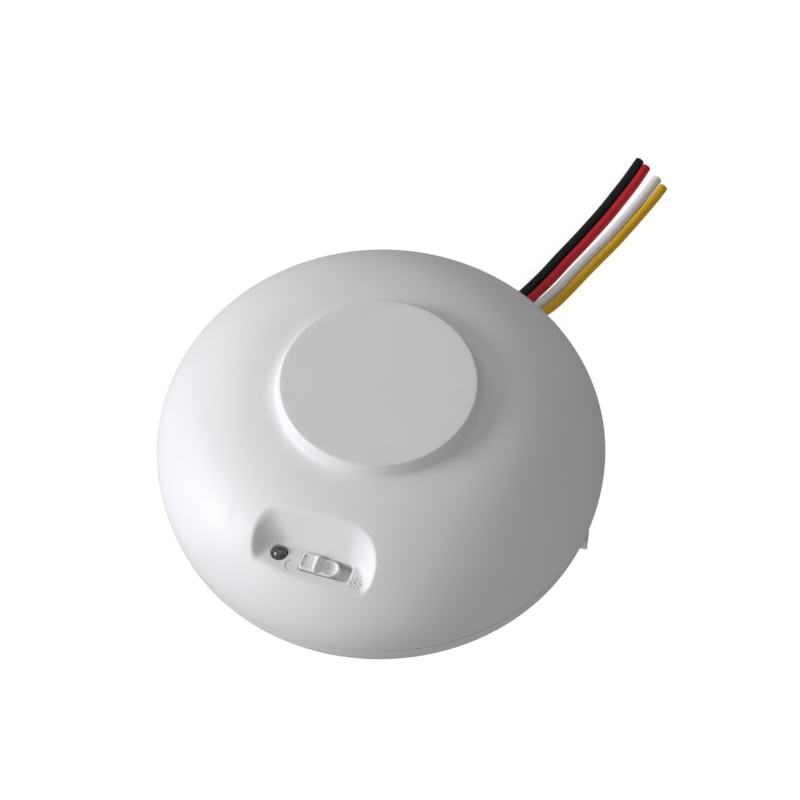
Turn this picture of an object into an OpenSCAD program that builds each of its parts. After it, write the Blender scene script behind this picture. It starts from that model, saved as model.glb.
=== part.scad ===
// Round ceiling motion sensor: a dome cover pushed onto a screw-down base, with a control board, a
// microwave module, a light sensor and a day/night slide switch inside, and four lead wires.
// Millimetres. The origin is the centre of the back face, +Z runs out through the dome, and the
// switch pocket looks towards -Y.

/* [Housing] */
// Largest diameter of the housing
body_d = 85; // [84:0.5:88]
// Height of the dome's crown above the back face
crown_h = 26.8; // [26.6:0.1:28]
// Radius at which the dome's side arc meets its crown
crown_r = 17; // [16:0.5:18]
// Height at which the housing is widest
widest_z = 7.2; // [6.5:0.1:8]
// Radius of the housing at its back face
back_r = 41.6; // [41.2:0.1:41.8]
// Height of the parting line between base and cover
parting_z = 4.2; // [4.2:0.1:4.6]
// Width of the gap at the parting line
parting_gap = 0.2; // [0.1:0.05:0.3]
// Wall thickness of the cover
cover_wall = 2; // [1.8:0.1:2.2]

/* [Raised disc] */
// Diameter of the disc at its foot
disc_foot_d = 38; // [37.6:0.1:38.4]
// Diameter of the disc's flat top
disc_top_d = 36.6; // [35:0.1:37]
// Height of the disc's top above the back face
disc_top_z = 29.5; // [29:0.1:30.5]
// Height of the disc's foot above the back face
disc_foot_z = 27.3; // [27.1:0.1:27.6]
// Radius at which the sweep up to the disc starts
sweep_r = 21.4; // [21:0.1:22.5]

/* [Switch pocket] */
// Height of the pocket floor above the back face
pocket_floor_z = 18.3; // [18.2:0.1:18.5]
// Left edge of the pocket floor
pocket_left = -12.2; // [-12.6:0.1:-12]
// Right edge of the pocket floor
pocket_right = 9.3; // [9.1:0.1:9.8]
// Distance of the pocket's back edge from the centre, at the floor
pocket_back = 31; // [30.6:0.1:31.1]
// Lean of the pocket walls from upright, in degrees
pocket_flare = 26; // [22:1:28]
// Corner radius of the pocket
pocket_corner = 5.5; // [4.5:0.1:6]
// Thickness of the pocket floor
pocket_floor_t = 2; // [1.9:0.1:2.1]

/* [Slide switch] */
// Distance of the slide switch from the centre
switch_y = 33.9; // [33.8:0.1:34]
// Left end of the slot in the pocket floor
slot_left = -3.7; // [-3.8:0.1:-3.6]
// Width of the slot
slot_w = 3.8; // [3.7:0.1:3.9]
// Length of the sliding button
button_len = 7.3; // [7.2:0.1:7.4]
// Width of the sliding button
button_w = 3.4; // [3.2:0.1:3.5]
// Travel of the sliding button
switch_travel = 2; // [1.8:0.1:2]

/* [Light sensor] */
// Sideways place of the light sensor
eye_x = -7.9; // [-8:0.1:-7.8]
// Distance of the light sensor from the centre
eye_y = 33.5; // [33.4:0.1:33.7]
// Diameter of the light sensor's lens
eye_d = 2.9; // [2.8:0.1:3]
// Diameter of its hole in the pocket floor
eye_hole_d = 3.1; // [3.1:0.1:3.3]

/* [Mounting] */
// Distance between the centres of the two screw slots
screw_pitch = 60; // [58:0.5:61]
// Width of a screw slot
screw_slot_w = 4.2; // [3.8:0.1:4.5]
// Length of a screw slot, end to end
screw_slot_len = 7; // [6:0.1:7.5]

/* [Wires] */
// Outside diameter of a lead wire
wire_d = 1.9; // [1.6:0.1:1.9]
// Distance between neighbouring wires in the grommet
wire_pitch = 2; // [2:0.05:2.1]
// Direction in which the wires leave the housing, in degrees from +X
wire_angle = 69; // [60:1:72]

/* [Hidden] */
$fn = 96;
fit = 0.2;
eps = 0.01;

// Housing arcs: an ellipse above the widest height and a flatter one below it
body_r = body_d / 2;
side_a = body_r - crown_r;
side_b = crown_h - widest_z;
lower_b = widest_z / sqrt(1 - pow((back_r - crown_r) / side_a, 2));
side_steps = 20;
sweep_steps = 6;
cover_z = parting_z + parting_gap;
inner_a = side_a - cover_wall;
inner_b = side_b - cover_wall;
sweep_angle = acos((sweep_r - crown_r) / side_a);
sweep_slope = side_b * cos(sweep_angle) / (side_a * sin(sweep_angle));
disc_edge = 0.35;
knee_out = 0.3;

// Inside of the cover
bore_r = 40.3;
roof_r = disc_top_d / 2 - 1.3;
roof_z = disc_top_z - cover_wall;
roof_lean = 0.4;
bore_angle = acos((bore_r - crown_r) / inner_a);
boss_wall = 1.8;
cut_depth = pocket_floor_t + 1;
engraving = 0.25;
moon = [-5.1, -35.4];
moon_r = 1.1;
sun = [7.3, -35.5];
sun_r = 1.2;
ray_w = 0.24;

// Base
floor_t = 2;
spigot_r = bore_r - fit;
spigot_t = 1.9;
spigot_z = 7.5;
spigot_chamfer = 0.4;
post_r = 3;
post_ring_r = 27;
post_angles = [-145, -35, 115];
pilot_r = 1.25;
tab_angle = 10;
tab_x = [38.5, 40.95];
tab_y = [-13.4, -10.8];
tab_z = [0.8, 3.6];

// Control board
board_z = 6;
board_t = 1.6;
board_top = board_z + board_t;
board_r = spigot_r - spigot_t - 2 * fit;
board_side = 25.8;
board_wire_edge = 27.5;
board_hole_r = 1.6;
pin_depth = 1.4;
relay_x = -18.6;
relay_size = [10.5, 15.5, 11.8];
relay_pin_spots = [[-4, -6], [4, -6], [-4, 6], [4, 6], [0, -6]];
relay_pin_r = 0.4;
switch_pin = [0.5, 0.3];
sensor_lead_r = 0.25;
chip_row_y = -22;
resistor_row_y = -27.5;

// Slide switch and its button
slot_len = button_len + switch_travel + 0.2;
button_x = slot_left + 0.1;
knob_x = button_x + button_len / 2;
knob_len = 3;
knob_w = 1.5;
knob_top = 15.3;
knob_gap = 0.15;
slide_gap = 0.2;
frame_len = 8.6;
frame_w = 3.8;
frame_top = 12.3;
frame_x = knob_x + switch_travel / 2;
carriage_z = 11;
flange_z = 15.1;
flange_top = pocket_floor_z - pocket_floor_t - 0.1;
flange_x = [-5.5, 6.3];
flange_y = [-36, -31.6];
skirt_h = 2.1;
skirt_x = [-2.5, 2.5];
skirt_y = [-1.3, 1.9];
plate_top = pocket_floor_z - 0.1;
pad_top = pocket_floor_z + 0.5;
ridge_top = pocket_floor_z + 0.7;
pad_len = 3.3;
ridge_w = 0.6;
tray_rim = 0.45;
tray_depth = 0.3;
dish_r = 3;
dish_depth = 0.45;
eye_rim_z = 11.9;
eye_rim_w = 0.35;
eye_proud = 0.8;

// Microwave module
module_w = 28;
module_z = 22;
module_t = 1;
module_top = module_z + module_t;
module_hole = 11.5;
module_hole_r = 1.15;
module_pin_y = 12.7;
module_pins = 5;
pin_pitch = 2.54;
pin_w = 0.64;
socket_h = 8.5;

// Wires: lanes across the exit direction, then [distance from centre, height] along it
wire_r = wire_d / 2;
wire_sides = 8;
wire_z = 3;
wire_gap = 0.05;
header_in = 16;
plug_in = 20;
plug_end = 24.5;
grommet_in = 36.8;
grommet_out = 42;
grommet_w = 9.4;
grommet_z = [1.6, 4.2];
lanes = [1.5, 0.5, -0.5, -1.5] * wire_pitch;
inner_run = [
    [plug_end, 9.3], [27.5, 9.1], [30.5, 7.9], [32.5, 5.9],
    [34.5, 3.8], [36.5, wire_z], [40, wire_z], [43.5, wire_z]
];
outer_run = [
    [47, 1.9], [50.5, 1.1], [55, wire_r], [60, wire_r],
    [65, wire_r], [70, wire_r], [75, wire_r], [80, wire_r]
];
// Sideways place of each wire at the outer run's stations, and its last two points
black_drift = [3, 3.1, 3, 3.1, 3.1, 3.2, 3.4, 3.8];
black_end = [[85, 4.3, wire_r], [90, 5, wire_r]];
red_drift = [1, 1.1, 1, 1.1, 1.1, 1.2, 1.4, 1.8];
red_end = [[85, 2.3, wire_r], [89.5, 3, wire_r]];
white_drift = [-1, -1.2, -1.4, -1.4, -1.5, -1.6, -1.5, -1.3];
white_end = [[84, -1, wire_r], [88.5, -0.6, wire_r]];
yellow_drift = [-3.1, -3.3, -3.4, -3.4, -3.5, -3.6, -3.5, -3.3];
yellow_end = [[84, -3.1, wire_r], [87.5, -2.8, wire_r]];

// ---- functions ----

// Outer radius of the housing at height z, up to the crown
function housing_r(z) =
    crown_r + side_a * sqrt(1 - pow((z - widest_z) / (z < widest_z ? lower_b : side_b), 2));

// Points of an ellipse arc between two angles
function arc(centre, a, b, from, to, steps) =
    [for (i = [0:steps]) let (t = from + (to - from) * i / steps) centre + [a * cos(t), b * sin(t)]];

// Points of a quadratic curve from p to q that leaves and arrives along the lines to the knee
function sweep(p, knee, q, steps) =
    [for (i = [1:steps]) let (t = i / steps)
        pow(1 - t, 2) * p + 2 * t * (1 - t) * knee + pow(t, 2) * q];

// Unit vector along v
function unit(v) = v / norm(v);

// Direction of the route at its point i
function heading(route, i) =
    unit(route[min(i + 1, len(route) - 1)] - route[max(i - 1, 0)]);

// Whole route of one wire: straight out of the plug, down through the grommet, along the surface
function wire_route(lane, drift, end) = concat(
    [for (p = inner_run) [p[0], lane, p[1]]],
    [for (i = [0:len(outer_run) - 1]) [outer_run[i][0], drift[i], outer_run[i][1]]],
    end
);

// ---- shared shapes ----

// Round tube swept along a route that never runs upright
module tube(route, radius, sides) {
    last = len(route) - 1;
    points = [for (i = [0:last])
        let (ahead = heading(route, i), side = unit(cross(ahead, [0, 0, 1])), up = cross(side, ahead))
        for (k = [0:sides - 1])
            let (t = 360 * k / sides) route[i] + radius * (side * sin(t) + up * cos(t))];
    walls = [for (i = [0:last - 1]) for (k = [0:sides - 1])
        let (a = i * sides + k, b = i * sides + (k + 1) % sides) [a, b, b + sides, a + sides]];
    start = [[for (k = [sides - 1:-1:0]) k]];
    finish = [[for (k = [0:sides - 1]) last * sides + k]];
    polyhedron(points = points, faces = concat(start, walls, finish));
}

// Box between two corners
module span(low, high) {
    translate(low)
        cube(high - low);
}

// Turned so that local +X runs out along the wires
module along_wires() {
    rotate([0, 0, wire_angle])
        children();
}

// Copies on the three board posts
module on_posts() {
    for (angle = post_angles)
        rotate([0, 0, angle])
            translate([post_ring_r, 0, 0])
                children();
}

// Copies on the two module spacers
module on_spacers() {
    for (side = [-1, 1])
        translate([side * module_hole, -module_hole, 0])
            children();
}

// Upright slot with round ends, long in X
module long_slot(length, width, low, high) {
    translate([0, 0, low])
        linear_extrude(high - low) {
            square([length - width, width], center = true);
            for (side = [-1, 1])
                translate([side * (length - width) / 2, 0])
                    circle(d = width);
        }
}

// Flat outline of the pocket, open at the front, grown by an offset
module pocket_outline(grow) {
    front = body_r + 4;
    for (x = [pocket_left - grow + pocket_corner, pocket_right + grow - pocket_corner])
        translate([x, -pocket_back + grow - pocket_corner])
            circle(r = pocket_corner, $fn = 48);
    translate([pocket_left - grow, -front])
        square([pocket_right - pocket_left + 2 * grow, 1]);
}

// Flared pocket that starts at a height, with its floor outline grown by an offset
module pocket_void(low, grow) {
    high = disc_top_z + 1;
    hull() {
        translate([0, 0, low])
            linear_extrude(eps)
                pocket_outline(grow);
        translate([0, 0, high])
            linear_extrude(eps)
                pocket_outline(grow + (high - low) * tan(pocket_flare));
    }
}

// Solid inside the cover's outer skin
module dome_solid() {
    sweep_start = [sweep_r, widest_z + side_b * sin(sweep_angle)];
    foot = [disc_foot_d / 2, disc_foot_z];
    knee = [foot[0] + knee_out, sweep_start[1] + (sweep_r - foot[0] - knee_out) * sweep_slope];
    outline = concat(
        [[0, cover_z]],
        [for (z = [cover_z, (cover_z + widest_z) / 2]) [housing_r(z), z]],
        arc([crown_r, widest_z], side_a, side_b, 0, sweep_angle, side_steps),
        sweep(sweep_start, knee, foot, sweep_steps),
        [[disc_top_d / 2 + disc_edge / 3, disc_top_z - disc_edge]],
        [[disc_top_d / 2 - disc_edge, disc_top_z], [0, disc_top_z]]
    );
    rotate_extrude()
        polygon(outline);
}

// Hollow under the cover's skin
module dome_hollow() {
    outline = concat(
        [[0, cover_z - 1], [bore_r, cover_z - 1]],
        arc([crown_r, widest_z], inner_a, inner_b, bore_angle, sweep_angle, side_steps),
        [[roof_r + roof_lean, crown_h - cover_wall], [roof_r, roof_z], [0, roof_z]]
    );
    rotate_extrude()
        polygon(outline);
}

// Crescent and sun beside the slot, as cutters that reach a depth into the pocket floor
module pocket_symbols(depth) {
    translate([moon[0], moon[1], pocket_floor_z - depth])
        linear_extrude(2 * depth)
            difference() {
                circle(r = moon_r);
                translate([moon_r / 2, 0.1])
                    circle(r = moon_r * 0.86);
            }
    translate([sun[0], sun[1], pocket_floor_z - depth])
        linear_extrude(2 * depth) {
            circle(r = sun_r / 2);
            for (turn = [0:45:135])
                rotate(turn)
                    square([2 * sun_r, ray_w], center = true);
        }
}

// ---- housing ----

module base_plate() {
    half_w = grommet_w / 2;
    chamfer_r = spigot_r - spigot_chamfer;
    outline = concat(
        [[0, 0]],
        [for (i = [0:3]) let (z = parting_z * i / 3) [housing_r(z), z]],
        [[spigot_r, parting_z], [spigot_r, spigot_z - spigot_chamfer], [chamfer_r, spigot_z]],
        [[spigot_r - spigot_t, spigot_z], [spigot_r - spigot_t, floor_t], [0, floor_t]]
    );
    color("white")
        difference() {
            union() {
                rotate_extrude()
                    polygon(outline);
                on_posts()
                    translate([0, 0, floor_t - eps])
                        cylinder(r = post_r, h = board_z - floor_t + eps);
                rotate([0, 0, tab_angle])
                    span([tab_x[0], tab_y[0], tab_z[0]], [tab_x[1], tab_y[1], tab_z[1]]);
            }
            on_posts()
                translate([0, 0, floor_t])
                    cylinder(r = pilot_r, h = board_z);
            for (side = [-1, 1])
                translate([side * screw_pitch / 2, 0, 0])
                    long_slot(screw_slot_len, screw_slot_w, -1, floor_t + 1);
            along_wires()
                span([grommet_in, -half_w, grommet_z[0]], [body_r + 1, half_w, grommet_z[1] + eps]);
        }
}

module wire_grommet() {
    lip_t = 0.8;
    lip_top = 5;
    half_w = grommet_w / 2;
    gap_r = wire_r + wire_gap;
    color("gainsboro")
        along_wires()
            difference() {
                union() {
                    span([grommet_in, -half_w, grommet_z[0]], [grommet_out, half_w, grommet_z[1]]);
                    span([grommet_in, -half_w, grommet_z[0]], [grommet_in + lip_t, half_w, lip_top]);
                }
                translate([grommet_in - 1, 0, wire_z])
                    rotate([90, 0, 90])
                        linear_extrude(grommet_out - grommet_in + 2) {
                            square([lanes[0] - lanes[3], 2 * gap_r], center = true);
                            for (lane = [lanes[0], lanes[3]])
                                translate([lane, 0])
                                    circle(r = gap_r);
                        }
            }
}

module cover() {
    color("white")
        difference() {
            dome_solid();
            difference() {
                dome_hollow();
                pocket_void(pocket_floor_z - pocket_floor_t, boss_wall);
            }
            pocket_void(pocket_floor_z, 0);
            translate([slot_left + slot_len / 2, -switch_y, pocket_floor_z - cut_depth])
                linear_extrude(cut_depth + 1)
                    square([slot_len, slot_w], center = true);
            translate([eye_x, -eye_y, pocket_floor_z - cut_depth])
                cylinder(d = eye_hole_d, h = cut_depth + 1);
            pocket_symbols(engraving);
        }
}

// ---- switch and light sensor ----

module slider_cap() {
    end_r = button_w / 2;
    front = -switch_y - end_r;
    grip = [knob_len / 2 + knob_gap, knob_w / 2 + knob_gap];
    color("whitesmoke")
        difference() {
            union() {
                span([flange_x[0], flange_y[0], flange_z], [flange_x[1], flange_y[1], flange_top]);
                translate([button_x, front, flange_top - eps])
                    cube([button_len - end_r, button_w, plate_top - flange_top + eps]);
                translate([button_x + button_len - end_r, -switch_y, flange_top - eps])
                    cylinder(r = end_r, h = plate_top - flange_top + eps);
                translate([button_x, front, plate_top - eps])
                    cube([pad_len, button_w, pad_top - plate_top + eps]);
                translate([button_x + pad_len - ridge_w, front, plate_top - eps])
                    cube([ridge_w, button_w, ridge_top - plate_top + eps]);
                span(
                    [knob_x + skirt_x[0], -switch_y + skirt_y[0], flange_z - skirt_h],
                    [knob_x + skirt_x[1], -switch_y + skirt_y[1], flange_z + eps]
                );
            }
            translate([button_x + tray_rim, front + tray_rim, pad_top - tray_depth])
                cube([pad_len - ridge_w - tray_rim, button_w - 2 * tray_rim, 1]);
            translate([button_x + button_len - end_r, -switch_y, plate_top - dish_depth + dish_r])
                sphere(r = dish_r);
            span(
                [knob_x - grip[0], -switch_y - grip[1], flange_z - skirt_h - 1],
                [knob_x + grip[0], -switch_y + grip[1], knob_top + fit]
            );
        }
}

module switch_knob() {
    color("dimgray")
        span(
            [knob_x - knob_len / 2, -switch_y - knob_w / 2, carriage_z],
            [knob_x + knob_len / 2, -switch_y + knob_w / 2, knob_top]
        );
}

module switch_frame() {
    slide_len = knob_len + switch_travel + 2 * slide_gap;
    slide_w = knob_w + 2 * slide_gap;
    color("silver")
        difference() {
            span(
                [frame_x - frame_len / 2, -switch_y - frame_w / 2, board_top],
                [frame_x + frame_len / 2, -switch_y + frame_w / 2, frame_top]
            );
            span(
                [frame_x - slide_len / 2, -switch_y - slide_w / 2, carriage_z - slide_gap],
                [frame_x + slide_len / 2, -switch_y + slide_w / 2, frame_top + 1]
            );
        }
}

module on_switch_pins() {
    for (i = [-1:1])
        translate([frame_x + 2 * i, -switch_y, 0])
            children();
}

module switch_pins() {
    color("silver")
        on_switch_pins()
            translate([-switch_pin[0] / 2, -switch_pin[1] / 2, board_z - pin_depth])
                cube([switch_pin[0], switch_pin[1], board_t + pin_depth]);
}

module light_sensor() {
    eye_r = eye_d / 2;
    dome_z = pocket_floor_z + eye_proud - eye_r;
    color([0.12, 0.12, 0.14])
        translate([eye_x, -eye_y, 0]) {
            translate([0, 0, eye_rim_z])
                cylinder(r = eye_r + eye_rim_w, h = 1);
            translate([0, 0, eye_rim_z])
                cylinder(r = eye_r, h = dome_z - eye_rim_z);
            translate([0, 0, dome_z])
                intersection() {
                    sphere(r = eye_r);
                    cylinder(r = eye_r + 1, h = eye_r + 1);
                }
        }
}

module on_sensor_leads() {
    for (side = [-1, 1])
        translate([eye_x + side * pin_pitch / 2, -eye_y, 0])
            children();
}

module sensor_leads() {
    color("silver")
        on_sensor_leads()
            translate([0, 0, board_z - pin_depth])
                cylinder(r = sensor_lead_r, h = eye_rim_z - board_z + pin_depth);
}

// ---- control board ----

module on_relay_pins() {
    for (spot = relay_pin_spots)
        translate([relay_x + spot[0], spot[1], 0])
            children();
}

// Upright drill for the control board
module board_drill(radius) {
    translate([0, 0, board_z - 1])
        cylinder(r = radius, h = board_t + 2);
}

module main_board() {
    trim = [20, 60];
    color("seagreen")
        difference() {
            translate([0, 0, board_z])
                linear_extrude(board_t)
                    difference() {
                        circle(r = board_r);
                        for (side = [-1, 1])
                            translate([side * (board_side + trim[0] / 2), 0])
                                square(trim, center = true);
                        rotate(wire_angle)
                            translate([board_wire_edge + trim[0] / 2, 0])
                                square(trim, center = true);
                    }
            on_posts()
                board_drill(board_hole_r);
            on_switch_pins()
                board_drill(switch_pin[0]);
            on_sensor_leads()
                board_drill(sensor_lead_r + 0.15);
            on_relay_pins()
                board_drill(relay_pin_r + 0.25);
        }
}

module board_screws() {
    head_r = 2.5;
    head_h = 1.7;
    tip_z = 2.8;
    recess = [2.8, 0.6, 1.6];
    color("lightsteelblue")
        on_posts()
            difference() {
                union() {
                    translate([0, 0, board_top])
                        cylinder(r = head_r, h = head_h);
                    translate([0, 0, tip_z])
                        cylinder(r = pilot_r - 0.05, h = board_top - tip_z + eps);
                }
                for (turn = [0, 90])
                    rotate([0, 0, turn])
                        translate([0, 0, board_top + head_h])
                            cube(recess, center = true);
            }
}

module wire_header() {
    half_w = 4.7;
    high = 3.6;
    color("ivory")
        along_wires()
            span([header_in, -half_w, board_top], [plug_in, half_w, board_top + high]);
}

module wire_plug() {
    half_w = 4.4;
    top = board_top + 3.3;
    window = [1.8, 0.9, 1];
    color("ivory")
        along_wires()
            difference() {
                span([plug_in, -half_w, board_top + 0.1], [plug_end, half_w, top]);
                for (lane = lanes)
                    translate([(plug_in + plug_end) / 2, lane, top])
                        cube(window, center = true);
            }
}

module relay() {
    color("royalblue")
        translate([relay_x - relay_size[0] / 2, -relay_size[1] / 2, board_top])
            cube(relay_size);
}

module relay_pins() {
    color("silver")
        on_relay_pins()
            translate([0, 0, board_z - pin_depth])
                cylinder(r = relay_pin_r, h = board_t + pin_depth);
}

// Upright electrolytic capacitor with a rolled neck above its foot and a vent cross on top
module can_capacitor(place, radius, height) {
    neck_z = 1.6;
    neck_r = 0.55;
    neck_out = 0.25;
    vent = [radius * 1.4, 0.3, 0.4];
    translate([place[0], place[1], board_top])
        difference() {
            cylinder(r = radius, h = height);
            translate([0, 0, neck_z])
                rotate_extrude()
                    translate([radius + neck_out, 0])
                        circle(r = neck_r);
            for (turn = [0, 90])
                rotate([0, 0, turn])
                    translate([0, 0, height])
                        cube(vent, center = true);
        }
}

module capacitor_main() {
    color("midnightblue")
        can_capacitor(place = [18, -6], radius = 4, height = 11.5);
}

module capacitor_small() {
    color("midnightblue")
        can_capacitor(place = [19.5, 6], radius = 2.5, height = 11);
}

module regulator() {
    place = [18.5, 14.5, board_top];
    half = [3.25, 3.05];
    high = 2.3;
    metal_t = 0.6;
    heat_tab = [2.7, 1.2];
    leg = [0.4, 2];
    leg_x = 2.3;
    color([0.13, 0.13, 0.14])
        translate(place) {
            span([-half[0], -half[1], 0], [half[0], half[1], high]);
            span([-heat_tab[0], half[1] - eps, 0], [heat_tab[0], half[1] + heat_tab[1], metal_t]);
            for (x = [-leg_x, leg_x])
                span([x - leg[0], -half[1] - leg[1], 0], [x + leg[0], -half[1] + eps, metal_t]);
        }
}

module controller_chip() {
    half = [4.3, 1.95];
    body_z = [0.15, 1.6];
    leg = [0.4, 1.3, 0.8];
    leg_y = 2.4;
    leg_pitch = 1.27;
    color([0.13, 0.13, 0.14])
        translate([0, chip_row_y, board_top]) {
            span([-half[0], -half[1], body_z[0]], [half[0], half[1], body_z[1]]);
            for (i = [-3:3])
                for (side = [-1, 1])
                    translate([leg_pitch * i, side * leg_y, leg[2] / 2])
                        cube(leg, center = true);
        }
}

module diodes() {
    half = [1.3, 2.15];
    high = 2.2;
    color([0.16, 0.16, 0.17])
        for (x = [-11, 11, 15.5])
            translate([x, chip_row_y, board_top])
                span([-half[0], -half[1], 0], [half[0], half[1], high]);
}

module resistors() {
    half = [0.6, 1];
    high = 0.55;
    pitch = 2.6;
    color([0.2, 0.2, 0.22])
        for (i = [-3:3])
            translate([pitch * i, resistor_row_y, board_top])
                span([-half[0], -half[1], 0], [half[0], half[1], high]);
}

// ---- microwave module ----

module module_spacers() {
    spacer_r = 2.2;
    bore = 1.1;
    bore_start = 4;
    color("ivory")
        on_spacers()
            translate([0, 0, board_top])
                difference() {
                    cylinder(r = spacer_r, h = module_z - board_top);
                    translate([0, 0, bore_start])
                        cylinder(r = bore, h = module_z);
                }
}

module module_screws() {
    head_r = 1.9;
    head_h = 1.3;
    shank_r = 1.05;
    shank = 5;
    recess = [2.2, 0.5, 1.2];
    color("lightsteelblue")
        on_spacers()
            difference() {
                union() {
                    translate([0, 0, module_top])
                        cylinder(r = head_r, h = head_h);
                    translate([0, 0, module_z - shank])
                        cylinder(r = shank_r, h = shank + module_t + eps);
                }
                for (turn = [0, 90])
                    rotate([0, 0, turn])
                        translate([0, 0, module_top + head_h])
                            cube(recess, center = true);
            }
}

module on_module_pins() {
    for (i = [0:module_pins - 1])
        translate([(i - (module_pins - 1) / 2) * pin_pitch, module_pin_y, 0])
            children();
}

module header_block() {
    half_w = module_pins * pin_pitch / 2;
    half_t = pin_pitch / 2;
    color([0.1, 0.1, 0.11])
        translate([0, module_pin_y, board_top])
            span([-half_w, -half_t, 0], [half_w, half_t, socket_h]);
}

module header_pins() {
    start = board_top + socket_h;
    proud = 0.8;
    color("gold")
        on_module_pins()
            translate([-pin_w / 2, -pin_w / 2, start])
                cube([pin_w, pin_w, module_top + proud - start]);
}

module radar_board() {
    pin_hole_r = 0.55;
    color("darkgreen")
        difference() {
            translate([-module_w / 2, -module_w / 2, module_z])
                cube([module_w, module_w, module_t]);
            on_spacers()
                translate([0, 0, module_z - 1])
                    cylinder(r = module_hole_r, h = module_t + 2);
            on_module_pins()
                translate([0, 0, module_z - 1])
                    cylinder(r = pin_hole_r, h = module_t + 2);
        }
}

module radar_shield() {
    can = [18, 16, 4];
    skin = 0.3;
    color("silver")
        translate([-can[0] / 2, -can[1] / 2, module_z - can[2]])
            difference() {
                cube(can);
                translate([skin, skin, skin])
                    cube([can[0] - 2 * skin, can[1] - 2 * skin, can[2]]);
            }
}

module antenna_patches() {
    half = 5.5;
    spread = 6.5;
    copper_t = 0.1;
    color("gold")
        for (side = [-1, 1])
            translate([side * spread, 0, module_top])
                span([-half, -half, 0], [half, half, copper_t]);
}

// ---- lead wires ----

module lead_wire(index, drift, end) {
    along_wires()
        tube(wire_route(lanes[index], drift, end), wire_r, wire_sides);
}

module wire_black() {
    color([0.05, 0.05, 0.05])
        lead_wire(0, black_drift, black_end);
}

module wire_red() {
    color("firebrick")
        lead_wire(1, red_drift, red_end);
}

module wire_white() {
    color("whitesmoke")
        lead_wire(2, white_drift, white_end);
}

module wire_yellow() {
    color("goldenrod")
        lead_wire(3, yellow_drift, yellow_end);
}

base_plate();
wire_grommet();
main_board();
board_screws();
wire_header();
wire_plug();
relay();
relay_pins();
capacitor_main();
capacitor_small();
regulator();
controller_chip();
diodes();
resistors();
module_spacers();
module_screws();
header_block();
header_pins();
radar_board();
radar_shield();
antenna_patches();
light_sensor();
sensor_leads();
switch_frame();
switch_pins();
switch_knob();
cover();
slider_cap();
wire_black();
wire_red();
wire_white();
wire_yellow();
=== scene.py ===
import math

import bmesh
import bpy
import numpy as np
from mathutils import Matrix, Vector


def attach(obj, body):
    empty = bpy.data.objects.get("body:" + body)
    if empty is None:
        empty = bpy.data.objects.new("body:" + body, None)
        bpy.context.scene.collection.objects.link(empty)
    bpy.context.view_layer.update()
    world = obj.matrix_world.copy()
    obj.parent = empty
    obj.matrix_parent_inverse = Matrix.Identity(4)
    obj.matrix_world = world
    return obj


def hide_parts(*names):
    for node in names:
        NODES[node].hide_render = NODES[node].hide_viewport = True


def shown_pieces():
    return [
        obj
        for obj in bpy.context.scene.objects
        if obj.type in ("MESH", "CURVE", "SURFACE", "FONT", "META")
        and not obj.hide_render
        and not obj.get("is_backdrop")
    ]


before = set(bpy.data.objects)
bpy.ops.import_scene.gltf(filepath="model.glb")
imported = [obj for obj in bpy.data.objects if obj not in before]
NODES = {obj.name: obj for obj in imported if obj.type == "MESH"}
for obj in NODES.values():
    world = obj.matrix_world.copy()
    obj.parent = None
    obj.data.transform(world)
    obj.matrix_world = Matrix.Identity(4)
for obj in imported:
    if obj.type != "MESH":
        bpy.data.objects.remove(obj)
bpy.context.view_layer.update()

MM = 0.001

# -------- sizes, in millimetres

# The side is a quarter ellipse from the widest ring up to the crown, which the disc stands on
BODY_R = 42.5
CROWN_R = 17.0
CROWN_H = 26.8
WIDEST_Z = 7.2
BACK_R = 41.6
# The cover's lower edge, 0.08 above the rim of the base
COVER_Z = 4.28
WALL = 2.0
DISC_R = 18.3
DISC_FOOT_R = 19.0
DISC_FOOT_Z = 27.3
DISC_Z = 29.5
DISC_EDGE = 0.4
# The concave sweep from the disc's foot meets the side at this radius
SWEEP_R = 21.2
BORE_R = 40.3
SIDE_A = BODY_R - CROWN_R
SIDE_B = CROWN_H - WIDEST_Z
LOWER_B = WIDEST_Z / math.sqrt(1 - ((BACK_R - CROWN_R) / SIDE_A) ** 2)
# How far the disc's side leans out for each millimetre down
WALL_LEAN = (DISC_FOOT_R - DISC_R) / (DISC_Z - DISC_EDGE - DISC_FOOT_Z)

POCKET_Z = 18.3
POCKET_LEFT, POCKET_RIGHT = -12.2, 9.3
POCKET_BACK = -31.0
POCKET_CORNER = 5.5
POCKET_FLARE = math.radians(26)
POCKET_FLOOR_T = 2.0
BOSS_WALL = 1.8
# The pocket and its boss reach no farther back than this
POCKET_REACH = -20.0

SWITCH_Y = -33.9
SLOT_LEFT, SLOT_LEN, SLOT_W = -3.7, 9.5, 3.8
SLOT_LOW = (SLOT_LEFT, SWITCH_Y - SLOT_W / 2)
SLOT_HIGH = (SLOT_LEFT + SLOT_LEN, SWITCH_Y + SLOT_W / 2)
SLOT_CORNER = 0.8
BUTTON_LEFT, BUTTON_LEN, BUTTON_W = -3.6, 7.3, 3.4
BUTTON_CORNER = 0.45
FLANGE_LOW, FLANGE_HIGH = (-5.5, -36.0, 15.1), (6.3, -31.6, 16.2)
EYE_X, EYE_Y, EYE_HOLE_R = -7.9, -33.5, 1.55
EYE_R = 1.45
EYE_PROUD = 0.8
MOON, SUN = (-5.1, -35.4), (7.3, -35.5)
SYMBOL_R = 1.1
ENGRAVING = 0.15

WIRE_ANGLE = math.radians(69)
WIRE_D = 1.9
WIRE_R = WIRE_D / 2
EXIT_Z = 3
BOARD_TOP = 7.6

# -------- camera

CAMERA_AZIMUTH = math.radians(20)
CAMERA_ELEVATION = math.radians(57.3)
CAMERA_DISTANCE = 510.0
CAMERA_ROLL = math.radians(-1.95)
CAMERA_LENS, CAMERA_SENSOR = 122.6, 36
CAMERA_TARGET = Vector((0, 0, 14.9))
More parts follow.
